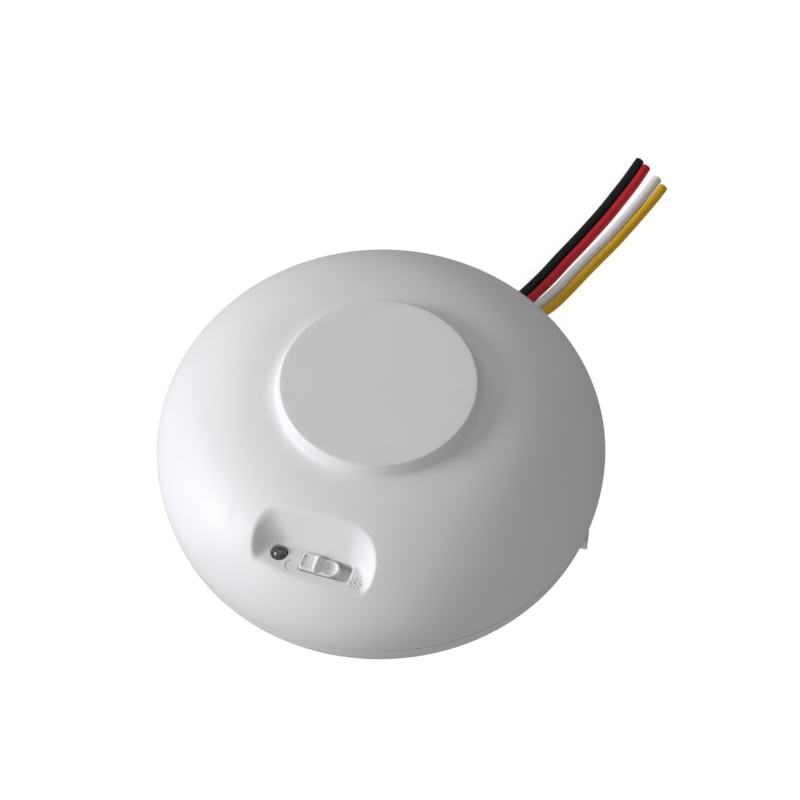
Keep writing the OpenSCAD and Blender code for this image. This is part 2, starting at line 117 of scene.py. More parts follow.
# The object stands a little left of and below the middle of the picture
FRAMING = (3.74, 4.6)


def make_camera():
    """The camera at the photograph's viewing angle."""
    ce, se = math.cos(CAMERA_ELEVATION), math.sin(CAMERA_ELEVATION)
    ca, sa = math.cos(CAMERA_AZIMUTH), math.sin(CAMERA_AZIMUTH)
    ahead = Vector((-sa * ce, ca * ce, -se))
    right = Vector((ca, sa, 0))
    up = right.cross(ahead)
    c, s = math.cos(CAMERA_ROLL), math.sin(CAMERA_ROLL)
    right, up = right * c + up * s, up * c - right * s
    place = CAMERA_TARGET - ahead * CAMERA_DISTANCE
    aim = CAMERA_TARGET + right * FRAMING[0] + up * FRAMING[1]
    ahead = (aim - place).normalized()
    right = (right - ahead * right.dot(ahead)).normalized()
    up = right.cross(ahead)
    data = bpy.data.cameras.new("camera")
    data.sensor_width = CAMERA_SENSOR
    data.lens = CAMERA_LENS
    data.clip_start, data.clip_end = 0.01, 20
    camera = bpy.data.objects.new("camera", data)
    turn = Matrix((right, up, -ahead)).transposed().to_4x4()
    camera.matrix_world = Matrix.Translation(place * MM) @ turn
    bpy.context.scene.collection.objects.link(camera)
    bpy.context.scene.camera = camera


make_camera()

# -------- materials


class Shader:
    """A Principled material with helpers for the procedural detail that feeds it."""

    def __init__(self, name, color, roughness, **sockets):
        self.mat = bpy.data.materials.new(name)
        self.mat.use_nodes = True
        self.tree = self.mat.node_tree
        self.bsdf = self.tree.nodes["Principled BSDF"]
        self.bsdf.inputs["Base Color"].default_value = (*color, 1)
        self.bsdf.inputs["Roughness"].default_value = roughness
        for socket, value in sockets.items():
            self.bsdf.inputs[socket.replace("_", " ")].default_value = value
        self.color = color
        self.coords = self.tree.nodes.new("ShaderNodeTexCoord").outputs["Object"]

    def node(self, kind, **values):
        """A new node; each value sets a property or, failing that, an input socket."""
        made = self.tree.nodes.new(kind)
        for key, value in values.items():
            if hasattr(made, key):
                setattr(made, key, value)
            else:
                made.inputs[key.replace("_", " ")].default_value = value
        return made

    def link(self, out, into):
        self.tree.links.new(out, into)

    def noise(self, size_mm, detail, stretch=(1, 1, 1)):
        """Noise whose features are about size_mm across."""
        mapping = self.node("ShaderNodeMapping")
        mapping.inputs["Scale"].default_value = stretch
        self.link(self.coords, mapping.inputs["Vector"])
        made = self.node("ShaderNodeTexNoise", Scale=1 / (size_mm * MM), Detail=detail)
        self.link(mapping.outputs["Vector"], made.inputs["Vector"])
        return made.outputs["Fac"]

    def spread(self, fac, low, high):
        """Maps the middle of a noise to the range low to high."""
        made = self.node("ShaderNodeMapRange", From_Min=0.3, From_Max=0.7, To_Min=low, To_Max=high)
        self.link(fac, made.inputs["Value"])
        return made.outputs["Result"]

    def tint(self, fac, dark, light):
        """Colour that varies from dark to light times the base colour."""
        ramp = self.node("ShaderNodeValToRGB")
        ramp.color_ramp.elements[0].position = 0.3
        ramp.color_ramp.elements[1].position = 0.7
        ramp.color_ramp.elements[0].color = (*[c * dark for c in self.color], 1)
        ramp.color_ramp.elements[1].color = (*[min(1, c * light) for c in self.color], 1)
        self.link(fac, ramp.inputs["Fac"])
        self.link(ramp.outputs["Color"], self.bsdf.inputs["Base Color"])

    def rough(self, fac, low, high):
        """Roughness that varies from low to high."""
        self.link(self.spread(fac, low, high), self.bsdf.inputs["Roughness"])

    def bump(self, *layers):
        """Stacks bump layers, each (height output, depth in mm)."""
        normal = None
        for height, depth in layers:
            made = self.node("ShaderNodeBump", Strength=1.0, Distance=depth * MM)
            self.link(height, made.inputs["Height"])
            if normal:
                self.link(normal, made.inputs["Normal"])
            normal = made.outputs["Normal"]
        self.link(normal, self.bsdf.inputs["Normal"])


def moulded(name, color, roughness, grain_mm, depth_mm, **sockets):
    """Moulded plastic: spark-eroded grain, a faint flow pattern and uneven gloss."""
    flow_mm, gloss_mm, wave_mm = 9, 3.5, grain_mm * 7
    s = Shader(name, color, roughness, **sockets)
    s.tint(s.noise(flow_mm, 3), 0.985, 1.015)
    s.rough(s.noise(gloss_mm, 4), roughness - 0.05, roughness + 0.06)
    s.bump((s.noise(grain_mm, 4), depth_mm), (s.noise(wave_mm, 2), depth_mm * 0.8))
    return s.mat


def metal(name, color, roughness, brush=(1, 1, 1), grain_mm=0.5):
    """Plated or rolled metal with uneven gloss; brush draws its grain out into lines."""
    s = Shader(name, color, roughness, Metallic=1.0)
    lines = s.noise(grain_mm, 5, brush)
    s.tint(s.noise(2.5, 3), 0.88, 1.06)
    s.rough(lines, roughness - 0.08, roughness + 0.12)
    s.bump((lines, 0.006))
    return s.mat


def insulation(name, color):
    """Extruded PVC: glossy and faintly uneven, with a little handling dirt."""
    s = Shader(name, color, 0.3, Specular_IOR_Level=0.35, Coat_Weight=0.12, Coat_Roughness=0.18)
    s.tint(s.noise(1.6, 4), 0.93, 1.05)
    s.rough(s.noise(0.9, 4), 0.24, 0.4)
    s.bump((s.noise(0.35, 4), 0.006), (s.noise(2.4, 2), 0.008))
    return s.mat


def solder_mask():
    """Green solder mask whose shade and height vary in blocks, as over buried copper."""
    pour_mm = 3.2
    s = Shader("solder_mask", (0.012, 0.1, 0.045), 0.28, Coat_Weight=0.4, Coat_Roughness=0.12)
    cells = s.node("ShaderNodeTexVoronoi", Scale=1 / (pour_mm * MM), distance="CHEBYCHEV")
    s.link(s.coords, cells.inputs["Vector"])
    edge = s.spread(cells.outputs["Distance"], 0, 1)
    s.tint(edge, 0.75, 1.5)
    s.rough(s.noise(1.2, 3), 0.24, 0.36)
    s.bump((edge, 0.03), (s.noise(0.25, 2), 0.006))
    return s.mat


def dark_lens():
    """Smoked clear epoxy of the light sensor."""
    s = Shader("dark_lens", (0.26, 0.255, 0.27), 0.05, IOR=1.54, Transmission_Weight=0.75)
    s.bump((s.noise(0.8, 2), 0.004))
    return s.mat


def copper_strands():
    """Bare copper, tarnished in patches."""
    s = Shader("copper_strands", (0.78, 0.36, 0.2), 0.32, Metallic=1.0)
    s.tint(s.noise(0.3, 3), 0.8, 1.1)
    s.bump((s.noise(0.15, 3), 0.01))
    return s.mat


WHITE = moulded("housing_plastic", (0.8, 0.8, 0.815), 0.5, 0.22, 0.01)
BUTTON = moulded("button_plastic", (0.81, 0.81, 0.82), 0.42, 0.25, 0.006)
RUBBER = moulded("grommet_rubber", (0.42, 0.42, 0.43), 0.62, 0.35, 0.02)
NYLON = moulded("nylon", (0.62, 0.57, 0.44), 0.42, 0.5, 0.01, Subsurface_Weight=0.1)
EPOXY = moulded("chip_epoxy", (0.02, 0.02, 0.022), 0.5, 0.18, 0.018)
RELAY = moulded("relay_case", (0.012, 0.06, 0.26), 0.34, 0.4, 0.008)
SLEEVE = moulded("capacitor_sleeve", (0.012, 0.014, 0.035), 0.26, 0.8, 0.01, Coat_Weight=0.3)
PRINT = moulded("white_print", (0.75, 0.75, 0.72), 0.6, 0.2, 0.01)
TIN = metal("tinned_metal", (0.7, 0.7, 0.69), 0.3)
SHIELD = metal("shield_tinplate", (0.66, 0.67, 0.68), 0.32, (1, 14, 1), 2.0)
STEEL = metal("screw_steel", (0.58, 0.6, 0.63), 0.34)
GOLD = metal("gold_plate", (0.85, 0.6, 0.22), 0.26)
SOLDER = metal("solder", (0.72, 0.72, 0.73), 0.24, (1, 1, 1), 0.4)
MASK = solder_mask()
TRACK = moulded("masked_track", (0.018, 0.17, 0.07), 0.26, 0.3, 0.004, Coat_Weight=0.4)
CERAMIC = moulded("resistor_ceramic", (0.72, 0.71, 0.68), 0.5, 0.1, 0.004)
LENS = dark_lens()
COPPER = copper_strands()

# -------- mesh helpers

# In metres: points nearer than this are one point, in a new piece and in a CAD node
SAME_POINT = 1e-7
SAME_CAD_POINT = 2e-6


def arc(centre, radius, turns):
    """Points on a circle at the given turns, in radians."""
    return [(centre[0] + radius * math.cos(t), centre[1] + radius * math.sin(t)) for t in turns]


def circle(centre, radius, sides):
    return arc(centre, radius, [2 * math.pi * k / sides for k in range(sides)])


def rectangle(x0, y0, x1, y1):
    return [(x0, y0), (x1, y0), (x1, y1), (x0, y1)]


def new_object(name, verts_mm, faces):
    mesh = bpy.data.meshes.new(name)
    mesh.from_pydata([tuple(v) for v in np.asarray(verts_mm, float) * MM], [], faces)
    mesh.validate()
    made = bpy.data.objects.new(name, mesh)
    bpy.context.scene.collection.objects.link(made)
    return made


def face_outward(made):
    bm = bmesh.new()
    bm.from_mesh(made.data)
    bmesh.ops.remove_doubles(bm, verts=bm.verts, dist=SAME_POINT)
    bmesh.ops.recalc_face_normals(bm, faces=bm.faces)
    bm.to_mesh(made.data)
    bm.free()


def smooth_by_angle(made, degrees=32):
    made.data.shade_smooth()
    made.data.set_sharp_from_angle(angle=math.radians(degrees))


def soften(made, width_mm, segments=2, weld=False):
    """Rounds every sharp edge of a piece without touching its own mesh."""
    if weld:
        made.modifiers.new("weld", "WELD").merge_threshold = SAME_CAD_POINT
    bevel = made.modifiers.new("edges", "BEVEL")
    bevel.width = width_mm * MM
    bevel.segments = segments
    bevel.limit_method = "ANGLE"
    bevel.angle_limit = math.radians(35)
    bevel.harden_normals = True
    bevel.use_clamp_overlap = True
    shade = made.modifiers.new("shading", "WEIGHTED_NORMAL")
    shade.keep_sharp = True


def finish_piece(made, material, body, stands_for=()):
    """Gives a new piece its material, its body and the nodes that it replaces."""
    made.data.materials.clear()
    made.data.materials.append(material)
    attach(made, body)
    if stands_for:
        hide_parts(*stands_for)


def dress(node, material, width_mm, segments=2):
    """Gives a CAD node its material and rounded edges."""
    made = NODES[node]
    made.data.materials.clear()
    made.data.materials.append(material)
    soften(made, width_mm, segments, weld=True)


class Solid:
    """Collects closed shapes, in millimetres, that make up one piece."""

    def __init__(self):
        self.verts, self.faces = [], []

    def add(self, verts, faces):
        start = len(self.verts)
        self.verts += [tuple(v) for v in verts]
        self.faces += [tuple(i + start for i in f) for f in faces]

    def loft(self, start, end):
        """Closed shape between two outlines with the same number of points."""
        n = len(start)
        walls = [(i, (i + 1) % n, n + (i + 1) % n, n + i) for i in range(n)]
        self.add([*start, *end], [tuple(range(n - 1, -1, -1)), tuple(range(n, 2 * n)), *walls])

    def prism(self, outline, low, high):
        """Upright prism over a flat outline."""
        self.loft([(x, y, low) for x, y in outline], [(x, y, high) for x, y in outline])

    def box(self, low, high):
        (x0, y0, z0), (x1, y1, z1) = low, high
        self.prism(rectangle(x0, y0, x1, y1), z0, z1)

    def taper(self, low, high, inset):
        """Box whose top is narrower by inset on every side."""
        (x0, y0, z0), (x1, y1, z1) = low, high
        top = rectangle(x0 + inset, y0 + inset, x1 - inset, y1 - inset)
        self.loft([(x, y, z0) for x, y in rectangle(x0, y0, x1, y1)], [(x, y, z1) for x, y in top])

    def slab_x(self, outline, x0, x1):
        """Prism along X over an outline of (y, z) points."""
        self.loft([(x0, y, z) for y, z in outline], [(x1, y, z) for y, z in outline])

    def track(self, route, width, low, high):
        """Flat strip with round ends along each leg of a route."""
        for a, b in zip(route, route[1:]):
            turn = math.atan2(b[1] - a[1], b[0] - a[0])
            outline = []
            for end, start in ((b, turn - math.pi / 2), (a, turn + math.pi / 2)):
                outline += arc(end, width / 2, np.linspace(start, start + math.pi, 7))
            self.prism(outline, low, high)

    def border(self, low, high, width, z0, z1):
        """Thin flat frame along the sides of a rectangle."""
        corners = rectangle(*low, *high)
        self.track(corners + corners[:1], width, z0, z1)

    def disc(self, centre, radius, low, high, sides):
        self.prism(circle(centre, radius, sides), low, high)

    def lathe(self, centre, profile, sides):
        """Turned shape from (radius, z) points that start and end on the axis."""
        rings = profile[1:-1]
        verts = [(centre[0], centre[1], profile[0][1])]
        for r, z in rings:
            verts += [(x, y, z) for x, y in circle(centre, r, sides)]
        verts.append((centre[0], centre[1], profile[-1][1]))
        last = len(verts) - 1
        faces = [(0, 1 + k, 1 + (k + 1) % sides) for k in range(sides)]
        for i in range(len(rings) - 1):
            a, b = 1 + i * sides, 1 + (i + 1) * sides
            faces += [(a + k, b + k, b + (k + 1) % sides, a + (k + 1) % sides) for k in range(sides)]
        a = 1 + (len(rings) - 1) * sides
        faces += [(a + k, last, a + (k + 1) % sides) for k in range(sides)]
        self.add(verts, faces)

    def make(self, name, material, slot, body, width_mm=0.0, stands_for=()):
        """Turns the collected shapes into a piece; its edges are rounded where width_mm is given."""
        made = new_object(name, self.verts, self.faces)
        face_outward(made)
        smooth_by_angle(made)
        if width_mm:
            soften(made, width_mm)
        finish_piece(made, material, body, stands_for)


def along_wires(point):
    """From the wires' own directions (out, left, up) to the object's X, Y and Z."""
    c, s = math.cos(WIRE_ANGLE), math.sin(WIRE_ANGLE)
    return (point[0] * c - point[1] * s, point[0] * s + point[1] * c, point[2])


# -------- lead wires

# The wires' routes: out from the centre, sideways to the left, and up, as in the CAD model
INNER_RUN = [(24.5, 9.3), (27.5, 9.1), (30.5, 7.9), (32.5, 5.9), (34.5, 3.8)]
INNER_RUN += [(36.5, EXIT_Z), (40, EXIT_Z), (43.5, EXIT_Z)]
OUTER_RUN = [(47, 1.9), (50.5, 1.1), (55, WIRE_R), (60, WIRE_R)]
OUTER_RUN += [(65, WIRE_R), (70, WIRE_R), (75, WIRE_R), (80, WIRE_R)]
# Each lead's lane inside, its way sideways along the outer run, and its last points, out and left
LEADS = {
    "black": (3, [3, 3.1, 3, 3.1, 3.1, 3.2, 3.4, 3.8], [(85, 4.3), (90, 5)]),
    "red": (1, [1, 1.1, 1, 1.1, 1.1, 1.2, 1.4, 1.8], [(85, 2.3), (89.5, 3)]),
    "white": (-1, [-1, -1.2, -1.4, -1.4, -1.5, -1.6, -1.5, -1.3], [(84, -1), (88.5, -0.6)]),
    "yellow": (-3, [-3.1, -3.3, -3.4, -3.4, -3.5, -3.6, -3.5, -3.3], [(84, -3.1), (87.5, -2.8)]),
}
LEAD_COLORS = {
    "black": (0.004, 0.004, 0.005),
    "red": (0.58, 0.012, 0.026),
    "white": (0.86, 0.86, 0.87),
    "yellow": (0.8, 0.45, 0.012),
}


def lead_route(lane, drift, end):
    """A lead's points, in metres, from the plug to the cut end."""
    inside = [(out, lane, up) for out, up in INNER_RUN]
    outside = [(out, side, up) for (out, up), side in zip(OUTER_RUN, drift)]
    last = [(out, side, WIRE_R) for out, side in end]
    return [Vector(along_wires(p)) * MM for p in [*inside, *outside, *last]]


def make_lead(color):
    """One insulated wire as a smooth curve through its route, which it returns."""
    lane, drift, end = LEADS[color]
    route = lead_route(lane, drift, end)
    data = bpy.data.curves.new(f"lead_{color}", "CURVE")
    data.dimensions = "3D"
    spline = data.splines.new("BEZIER")
    spline.bezier_points.add(len(route) - 1)
    for knot, place in zip(spline.bezier_points, route):
        knot.co = place
        knot.handle_left_type = knot.handle_right_type = "AUTO"
    data.bevel_depth = WIRE_R * MM
    data.bevel_resolution = 7
    data.resolution_u = 8
    data.use_fill_caps = True
    made = bpy.data.objects.new(f"lead_{color}", data)
    bpy.context.scene.collection.objects.link(made)
    data.materials.append(insulation(f"insulation_{color}", LEAD_COLORS[color]))
    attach(made, "base")
    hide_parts(f"wire_{color}")
    return route


def make_strands(routes):
    """The cut copper strands that show in each wire's end: six round one."""
    strand_r, lay_r, proud, buried, sides = 0.16, 0.36, 0.05, 1.0, 10
    rings = ((-buried, strand_r), (proud * 0.6, strand_r), (proud, strand_r * 0.6))
    verts, faces = [], []
    for route in routes:
        ahead = (route[-1] - route[-2]).normalized()
        side = ahead.cross(Vector((0, 0, 1))).normalized()
        up = side.cross(ahead)
        middle = route[-1] / MM
        for spot in [(0, 0)] + circle((0, 0), lay_r, 6):
            start = len(verts)
            for reach, radius in rings:
                for a, b in circle(spot, radius, sides):
                    verts.append(middle + side * a + up * b + ahead * reach)
            faces.append(tuple(range(start + sides - 1, start - 1, -1)))
            for first in (start, start + sides):
                for k in range(sides):
                    a, b = first + k, first + (k + 1) % sides
                    faces.append((a, b, b + sides, a + sides))
            faces.append(tuple(range(start + 2 * sides, start + 3 * sides)))
    made = new_object("copper_ends", verts, faces)
    face_outward(made)
    smooth_by_angle(made)
    finish_piece(made, COPPER, "base")


make_strands([make_lead(color) for color in LEADS])

# -------- cover


def smooth_min(a, b, k):
    """The lower of two heights, blended where they are within k of each other."""
    h = np.clip(0.5 + 0.5 * (b - a) / k, 0, 1)
    return b + (a - b) * h - k * h * (1 - h)


def smooth_max(a, b, k):
    return -smooth_min(-a, -b, k)


def rounded_box_distance(x, y, low, high, corner):
    """Signed distance to a rectangle with round corners, below 0 inside."""
    qx = np.abs(x - (low[0] + high[0]) / 2) - (high[0] - low[0]) / 2 + corner
    qy = np.abs(y - (low[1] + high[1]) / 2) - (high[1] - low[1]) / 2 + corner
    return np.hypot(np.maximum(qx, 0), np.maximum(qy, 0)) + np.minimum(np.maximum(qx, qy), 0) - corner


def pocket_surface(x, y, low, grow, inside_round):
    """Height of the pocket's floor and flared walls.

    The left corner keeps one radius all the way up; the right corner widens with the flare.
    """
    c, middle = POCKET_CORNER, (POCKET_LEFT + POCKET_RIGHT) / 2
    # Distances outwards from the centre of the nearer corner, sideways and towards the back
    u = np.abs(x - middle) - (POCKET_RIGHT - POCKET_LEFT) / 2 - grow + c
    v = y - POCKET_BACK - grow + c
    round_part = (u + v - np.sqrt(np.maximum(2 * c * c - (u - v) ** 2, 0))) / 2
    left = np.where(np.abs(u - v) < c, round_part, np.maximum(u, v) - c)
    right = np.hypot(np.maximum(u, 0), np.maximum(v, 0)) + np.minimum(np.maximum(u, v), 0) - c
    distance = np.where(x < middle, left, right)
    wall = low + distance / math.tan(POCKET_FLARE)
    return smooth_max(np.full_like(x, low), wall, inside_round)


def rim_drop(distance, radius):
    """How far a floor falls within radius of an edge, as a quarter round."""
    near = np.clip(radius - distance, 0, radius)
    return radius - np.sqrt(np.maximum(radius ** 2 - near ** 2, 0))


def outer_height(x, y, z):
    """The outer skin with the pocket sunk into it and the openings' edges rounded."""
    lip, inside_round, slot_edge, hole_edge = 1.0, 2.0, 0.28, 0.22
    floor = pocket_surface(x, y, POCKET_Z, 0.0, inside_round)
    floor = floor - rim_drop(rounded_box_distance(x, y, SLOT_LOW, SLOT_HIGH, SLOT_CORNER), slot_edge)
    floor = floor - rim_drop(np.hypot(x - EYE_X, y - EYE_Y) - EYE_HOLE_R, hole_edge)
    return np.where(y < POCKET_REACH, smooth_min(z, floor, lip), z)


def inner_height(x, y, z):
    """The inner skin, pushed down by the boss under the pocket; below boss_end it is the bore."""
    lip, inside_round, boss_end = 0.8, 1.0, 11
    boss = pocket_surface(x, y, POCKET_Z - POCKET_FLOOR_T, BOSS_WALL, inside_round)
    return np.where((y < POCKET_REACH) & (z > boss_end), smooth_min(z, boss, lip), z)


def side_z(r, a, b):
    """Height of the round side at a radius; a and b are its half-axes."""
    return WIDEST_Z + b * np.sqrt(np.maximum(1 - ((r - CROWN_R) / a) ** 2, 0))


def bezier(p, knee, q, steps):
    """Points of a curve from p to q that starts and ends on lines through the knee."""
    p, knee, q = map(np.array, (p, knee, q))
    shares = np.linspace(0, 1, steps + 1)
    return [tuple((1 - t) ** 2 * p + 2 * t * (1 - t) * knee + t ** 2 * q) for t in shares]


def disc_profile():
    """The disc's flat top and round edge."""
    edge_turns = [math.radians(t) for t in np.linspace(90, 12, 7)]
    top = [(r, DISC_Z) for r in (0, 3, 6, 9, 12, 15, 17)]
    return top + arc((DISC_R - DISC_EDGE, DISC_Z - DISC_EDGE), DISC_EDGE, edge_turns)


def sweep_profile():
    """The concave sweep from the disc's leaning side to the slope of the round side."""
    above_foot, steps = 0.05, 14
    out = SWEEP_R - CROWN_R
    slope = SIDE_B / SIDE_A * out / math.sqrt(SIDE_A ** 2 - out ** 2)
    sweep_z = float(side_z(SWEEP_R, SIDE_A, SIDE_B))
    reach = SWEEP_R - DISC_FOOT_R - WALL_LEAN * DISC_FOOT_Z
    knee_z = (sweep_z + reach * slope) / (1 - WALL_LEAN * slope)
    knee_r = DISC_FOOT_R + (DISC_FOOT_Z - knee_z) * WALL_LEAN
    start_z = DISC_FOOT_Z + above_foot
    start_r = DISC_FOOT_R - (start_z - DISC_FOOT_Z) * WALL_LEAN
    return bezier((start_r, start_z), (knee_r, knee_z), (SWEEP_R, sweep_z), steps)


def side_profile():
    """The round side from the sweep out to the widest ring and in to the lower edge."""
    coarse, fine, pocket_top, pocket_foot = 0.5, 0.14, 26.0, 40.5
    edge_top = COVER_Z + 0.25
    radii = [*np.arange(SWEEP_R + coarse, pocket_top, coarse), *np.arange(pocket_top, pocket_foot, fine)]
    points = [(r, float(side_z(r, SIDE_A, SIDE_B))) for r in radii]
    start = math.acos((radii[-1] - CROWN_R) / SIDE_A)
    for t in np.linspace(start, 0, 12)[1:]:
        points.append((CROWN_R + SIDE_A * math.cos(t), WIDEST_Z + SIDE_B * math.sin(t)))
    for z in np.linspace(WIDEST_Z, edge_top, 5)[1:]:
        points.append((CROWN_R + SIDE_A * math.sqrt(1 - ((z - WIDEST_Z) / LOWER_B) ** 2), z))
    last = points[-1][0]
    return points + [(last - 0.06, COVER_Z + 0.1), (last - 0.16, COVER_Z + 0.03), (last - 0.3, COVER_Z)]


def inner_profile():
    """(radius, height) from the cover's lower edge up inside to the axis."""
    a, b = SIDE_A - WALL, SIDE_B - WALL
    side_step, side_end, roof = 0.35, 22.5, DISC_Z - WALL
    points = [(BORE_R + 0.5, COVER_Z), (BORE_R + 0.12, COVER_Z + 0.12), (BORE_R, COVER_Z + 0.5)]
    points += [(BORE_R, z) for z in (5.5, 6.5, 7.5, 8.5)]
    start = math.acos((BORE_R - CROWN_R) / a)
    for t in np.linspace(start, math.radians(28), 8):
        points.append((CROWN_R + a * math.cos(t), WIDEST_Z + b * math.sin(t)))
    radii = np.arange(points[-1][0] - side_step, side_end, -side_step)
    points += [(r, float(side_z(r, a, b))) for r in radii]
    # The step up into the hollow of the disc
    points += [(19, 24.75), (17.6, 24.9), (17.2, 25.2), (17, 25.8), (17, roof - 0.5)]
    return points + [(16.8, roof - 0.1), (16.4, roof), (12, roof), (6, roof), (0, roof)]


def cover_columns():
    """Angles round the axis, close together over the pocket."""
    pocket_start, pocket_end, fine, other_columns = -116, -64, 0.24, 196
    dense = np.radians(np.arange(pocket_start, pocket_end, fine))
    sparse = np.linspace(dense[-1], dense[0] + 2 * math.pi, other_columns)[1:-1]
    return np.concatenate([dense, sparse])


def make_cover():
    """The cover as a grid turned round the axis, with the pocket pressed into it."""
    outer, inner = disc_profile() + sweep_profile() + side_profile(), inner_profile()
    angles = cover_columns()
    n = len(angles)
    rings = outer[1:] + inner[:-1]
    r = np.array([p[0] for p in rings])[:, None]
    z = np.repeat(np.array([p[1] for p in rings])[:, None], n, 1)
    x, y = r * np.cos(angles), r * np.sin(angles)
    split = len(outer) - 1
    z[:split] = outer_height(x[:split], y[:split], z[:split])
    z[split:] = inner_height(x[split:], y[split:], z[split:])
    grid = np.stack([x, y, z], -1).reshape(-1, 3)
    verts = np.vstack([grid, [[0, 0, outer[0][1]], [0, 0, inner[-1][1]]]])
    top, under = len(grid), len(grid) + 1
    across = np.arange(n)
    beside = (across + 1) % n
    faces = [(top, a, b) for a, b in zip(across, beside)]
    for ring in range(len(rings) - 1):
        a, b = ring * n, (ring + 1) * n
        faces += list(zip(a + across, b + across, b + beside, a + beside))
    last = (len(rings) - 1) * n
    faces += [(under, last + b, last + a) for a, b in zip(across, beside)]
    made = new_object("dome_cover", verts, [tuple(int(i) for i in f) for f in faces])
    face_outward(made)
    cut_openings(made)
    smooth_by_angle(made, 40)
    finish_piece(made, WHITE, "cover", ["cover"])


def slot_outline():
    """The slot's rectangle with round corners."""
    corner, steps = SLOT_CORNER, 8
    x0, x1 = SLOT_LOW[0] + corner, SLOT_HIGH[0] - corner
    y0, y1 = SLOT_LOW[1] + corner, SLOT_HIGH[1] - corner
    outline = []
    for centre, start in (((x1, y1), 0), ((x0, y1), 90), ((x0, y0), 180), ((x1, y0), 270)):
        turns = [math.radians(start + 90 * i / steps) for i in range(steps + 1)]
        outline += arc(centre, corner, turns)
    return outline


def moon_outline():
    """A crescent: a disc less a smaller disc to its right; the two cross at its tips."""
    r, inner_r, shift = SYMBOL_R, SYMBOL_R * 0.9, SYMBOL_R * 0.42
    cross = (r * r - inner_r * inner_r + shift * shift) / (2 * shift)
    outer_turn, inner_turn = math.acos(cross / r), math.acos((cross - shift) / inner_r)
    outside = np.linspace(outer_turn, 2 * math.pi - outer_turn, 28)
    inside = np.linspace(2 * math.pi - inner_turn, inner_turn, 22)[1:-1]
    return arc(MOON, r, outside) + arc((MOON[0] + shift, MOON[1]), inner_r, inside)


def sun_ray(turn):
    """Outline of one ray that stands apart from the sun's middle."""
    begins, half_width = 0.58, 0.12
    along = Vector((math.cos(turn), math.sin(turn)))
    beside = Vector((-math.sin(turn), math.cos(turn)))
    start, end = Vector(SUN) + along * SYMBOL_R * begins, Vector(SUN) + along * SYMBOL_R
    half = beside * half_width
    return [tuple(corner) for corner in (start - half, end - half, end + half, start + half)]


def cut_openings(made):
    """Cuts the slot and the light sensor's hole through the pocket floor, and engraves the symbols."""
    below, above, sun_middle, rays = POCKET_Z - 4, POCKET_Z + 3, SYMBOL_R * 0.36, 8
    cutter = Solid()
    cutter.prism(slot_outline(), below, above)
    cutter.disc((EYE_X, EYE_Y), EYE_HOLE_R, below, above, 40)
    low, high = POCKET_Z - ENGRAVING, POCKET_Z + 1
    cutter.prism(moon_outline(), low, high)
    cutter.disc(SUN, sun_middle, low, high, 20)
    for k in range(rays):
        cutter.prism(sun_ray(2 * math.pi * k / rays), low, high)
    tool = new_object("cutter", cutter.verts, cutter.faces)
    face_outward(tool)
    cut = made.modifiers.new("cut", "BOOLEAN")
    cut.operation = "DIFFERENCE"
    cut.solver = "EXACT"
    cut.object = tool
    bpy.context.view_layer.update()
    done = bpy.data.meshes.new_from_object(made.evaluated_get(bpy.context.evaluated_depsgraph_get()))
    made.modifiers.clear()
    made.data = done
    bpy.data.objects.remove(tool)


make_cover()

# -------- sliding button


def step(x, middle, width):
    """Rises from 0 to 1 over a width, with soft ends."""
    t = np.clip((x - middle) / width + 0.5, 0, 1)
    return t * t * (3 - 2 * t)


def button_height(x, y):
    """Top of the button; x runs from its left end, y from its centre line.

    A raised pad with a sunken tray and a ridge to push, then a low tongue with a rimmed dish.
    """
    low, pad, pad_end, pad_slope = POCKET_Z - 0.1, 0.6, 3.3, 0.5
    tray, tray_low, tray_high, tray_corner, tray_slope = 0.24, (0.42, -1.25), (2.45, 1.25), 0.35, 0.26
    ridge, ridge_x, ridge_width = 0.26, 2.9, 0.28
    dish, dish_x, dish_r, dish_rim, rim_width = 0.5, 5.45, 1.5, 0.14, 0.22
    rim_starts, rim_slope = 4.6, 1.0
    z = low + pad * (1 - step(x, pad_end, pad_slope))
    from_tray = rounded_box_distance(x, y, tray_low, tray_high, tray_corner)
    z = z - tray * (1 - step(from_tray, 0.0, tray_slope))
    z = z + ridge * np.exp(-((x - ridge_x) / ridge_width) ** 2)
    from_dish = np.hypot(x - dish_x, y)
    rim = dish_rim * np.exp(-((from_dish - dish_r) / rim_width) ** 2)
    z = z + rim * step(x, rim_starts, rim_slope)
    return z - dish * np.clip(1 - (from_dish / dish_r) ** 2, 0, 1)


def button_plan():
    """x and y of a grid over the button: small corners at its left end, a half round at its right."""
    corner, end_r = BUTTON_CORNER, BUTTON_W / 2
    body_from, tip_from, tip, spacing = 0.4, 6.9, 7.29, 0.08
    body_x, tip_x = np.arange(body_from, tip_from, spacing), np.linspace(tip_from, tip, 10)
    xs = np.concatenate([[0, 0.02, 0.06, 0.12, 0.2, 0.3], body_x, tip_x])
    vs = np.sin(np.linspace(-math.pi / 2, math.pi / 2, 45))
    half = np.full(len(xs), end_r)
    left = xs < corner
    half[left] = end_r - corner + np.sqrt(corner ** 2 - (corner - xs[left]) ** 2)
    right = xs > BUTTON_LEN - end_r
    half[right] = np.sqrt(np.maximum(end_r ** 2 - (xs[right] - BUTTON_LEN + end_r) ** 2, 0))
    return np.repeat(xs[:, None], len(vs), 1), half[:, None] * vs


def button_edge_depth(x, y):
    """How far a point lies inside the button's outline."""
    end_r, past_the_end = BUTTON_W / 2, BUTTON_LEN + 4
    from_left = rounded_box_distance(x, y, (0, -end_r), (past_the_end, end_r), BUTTON_CORNER)
    from_right = np.hypot(np.maximum(x - BUTTON_LEN + end_r, 0), y) - end_r
    return np.minimum(-from_left, -from_right)


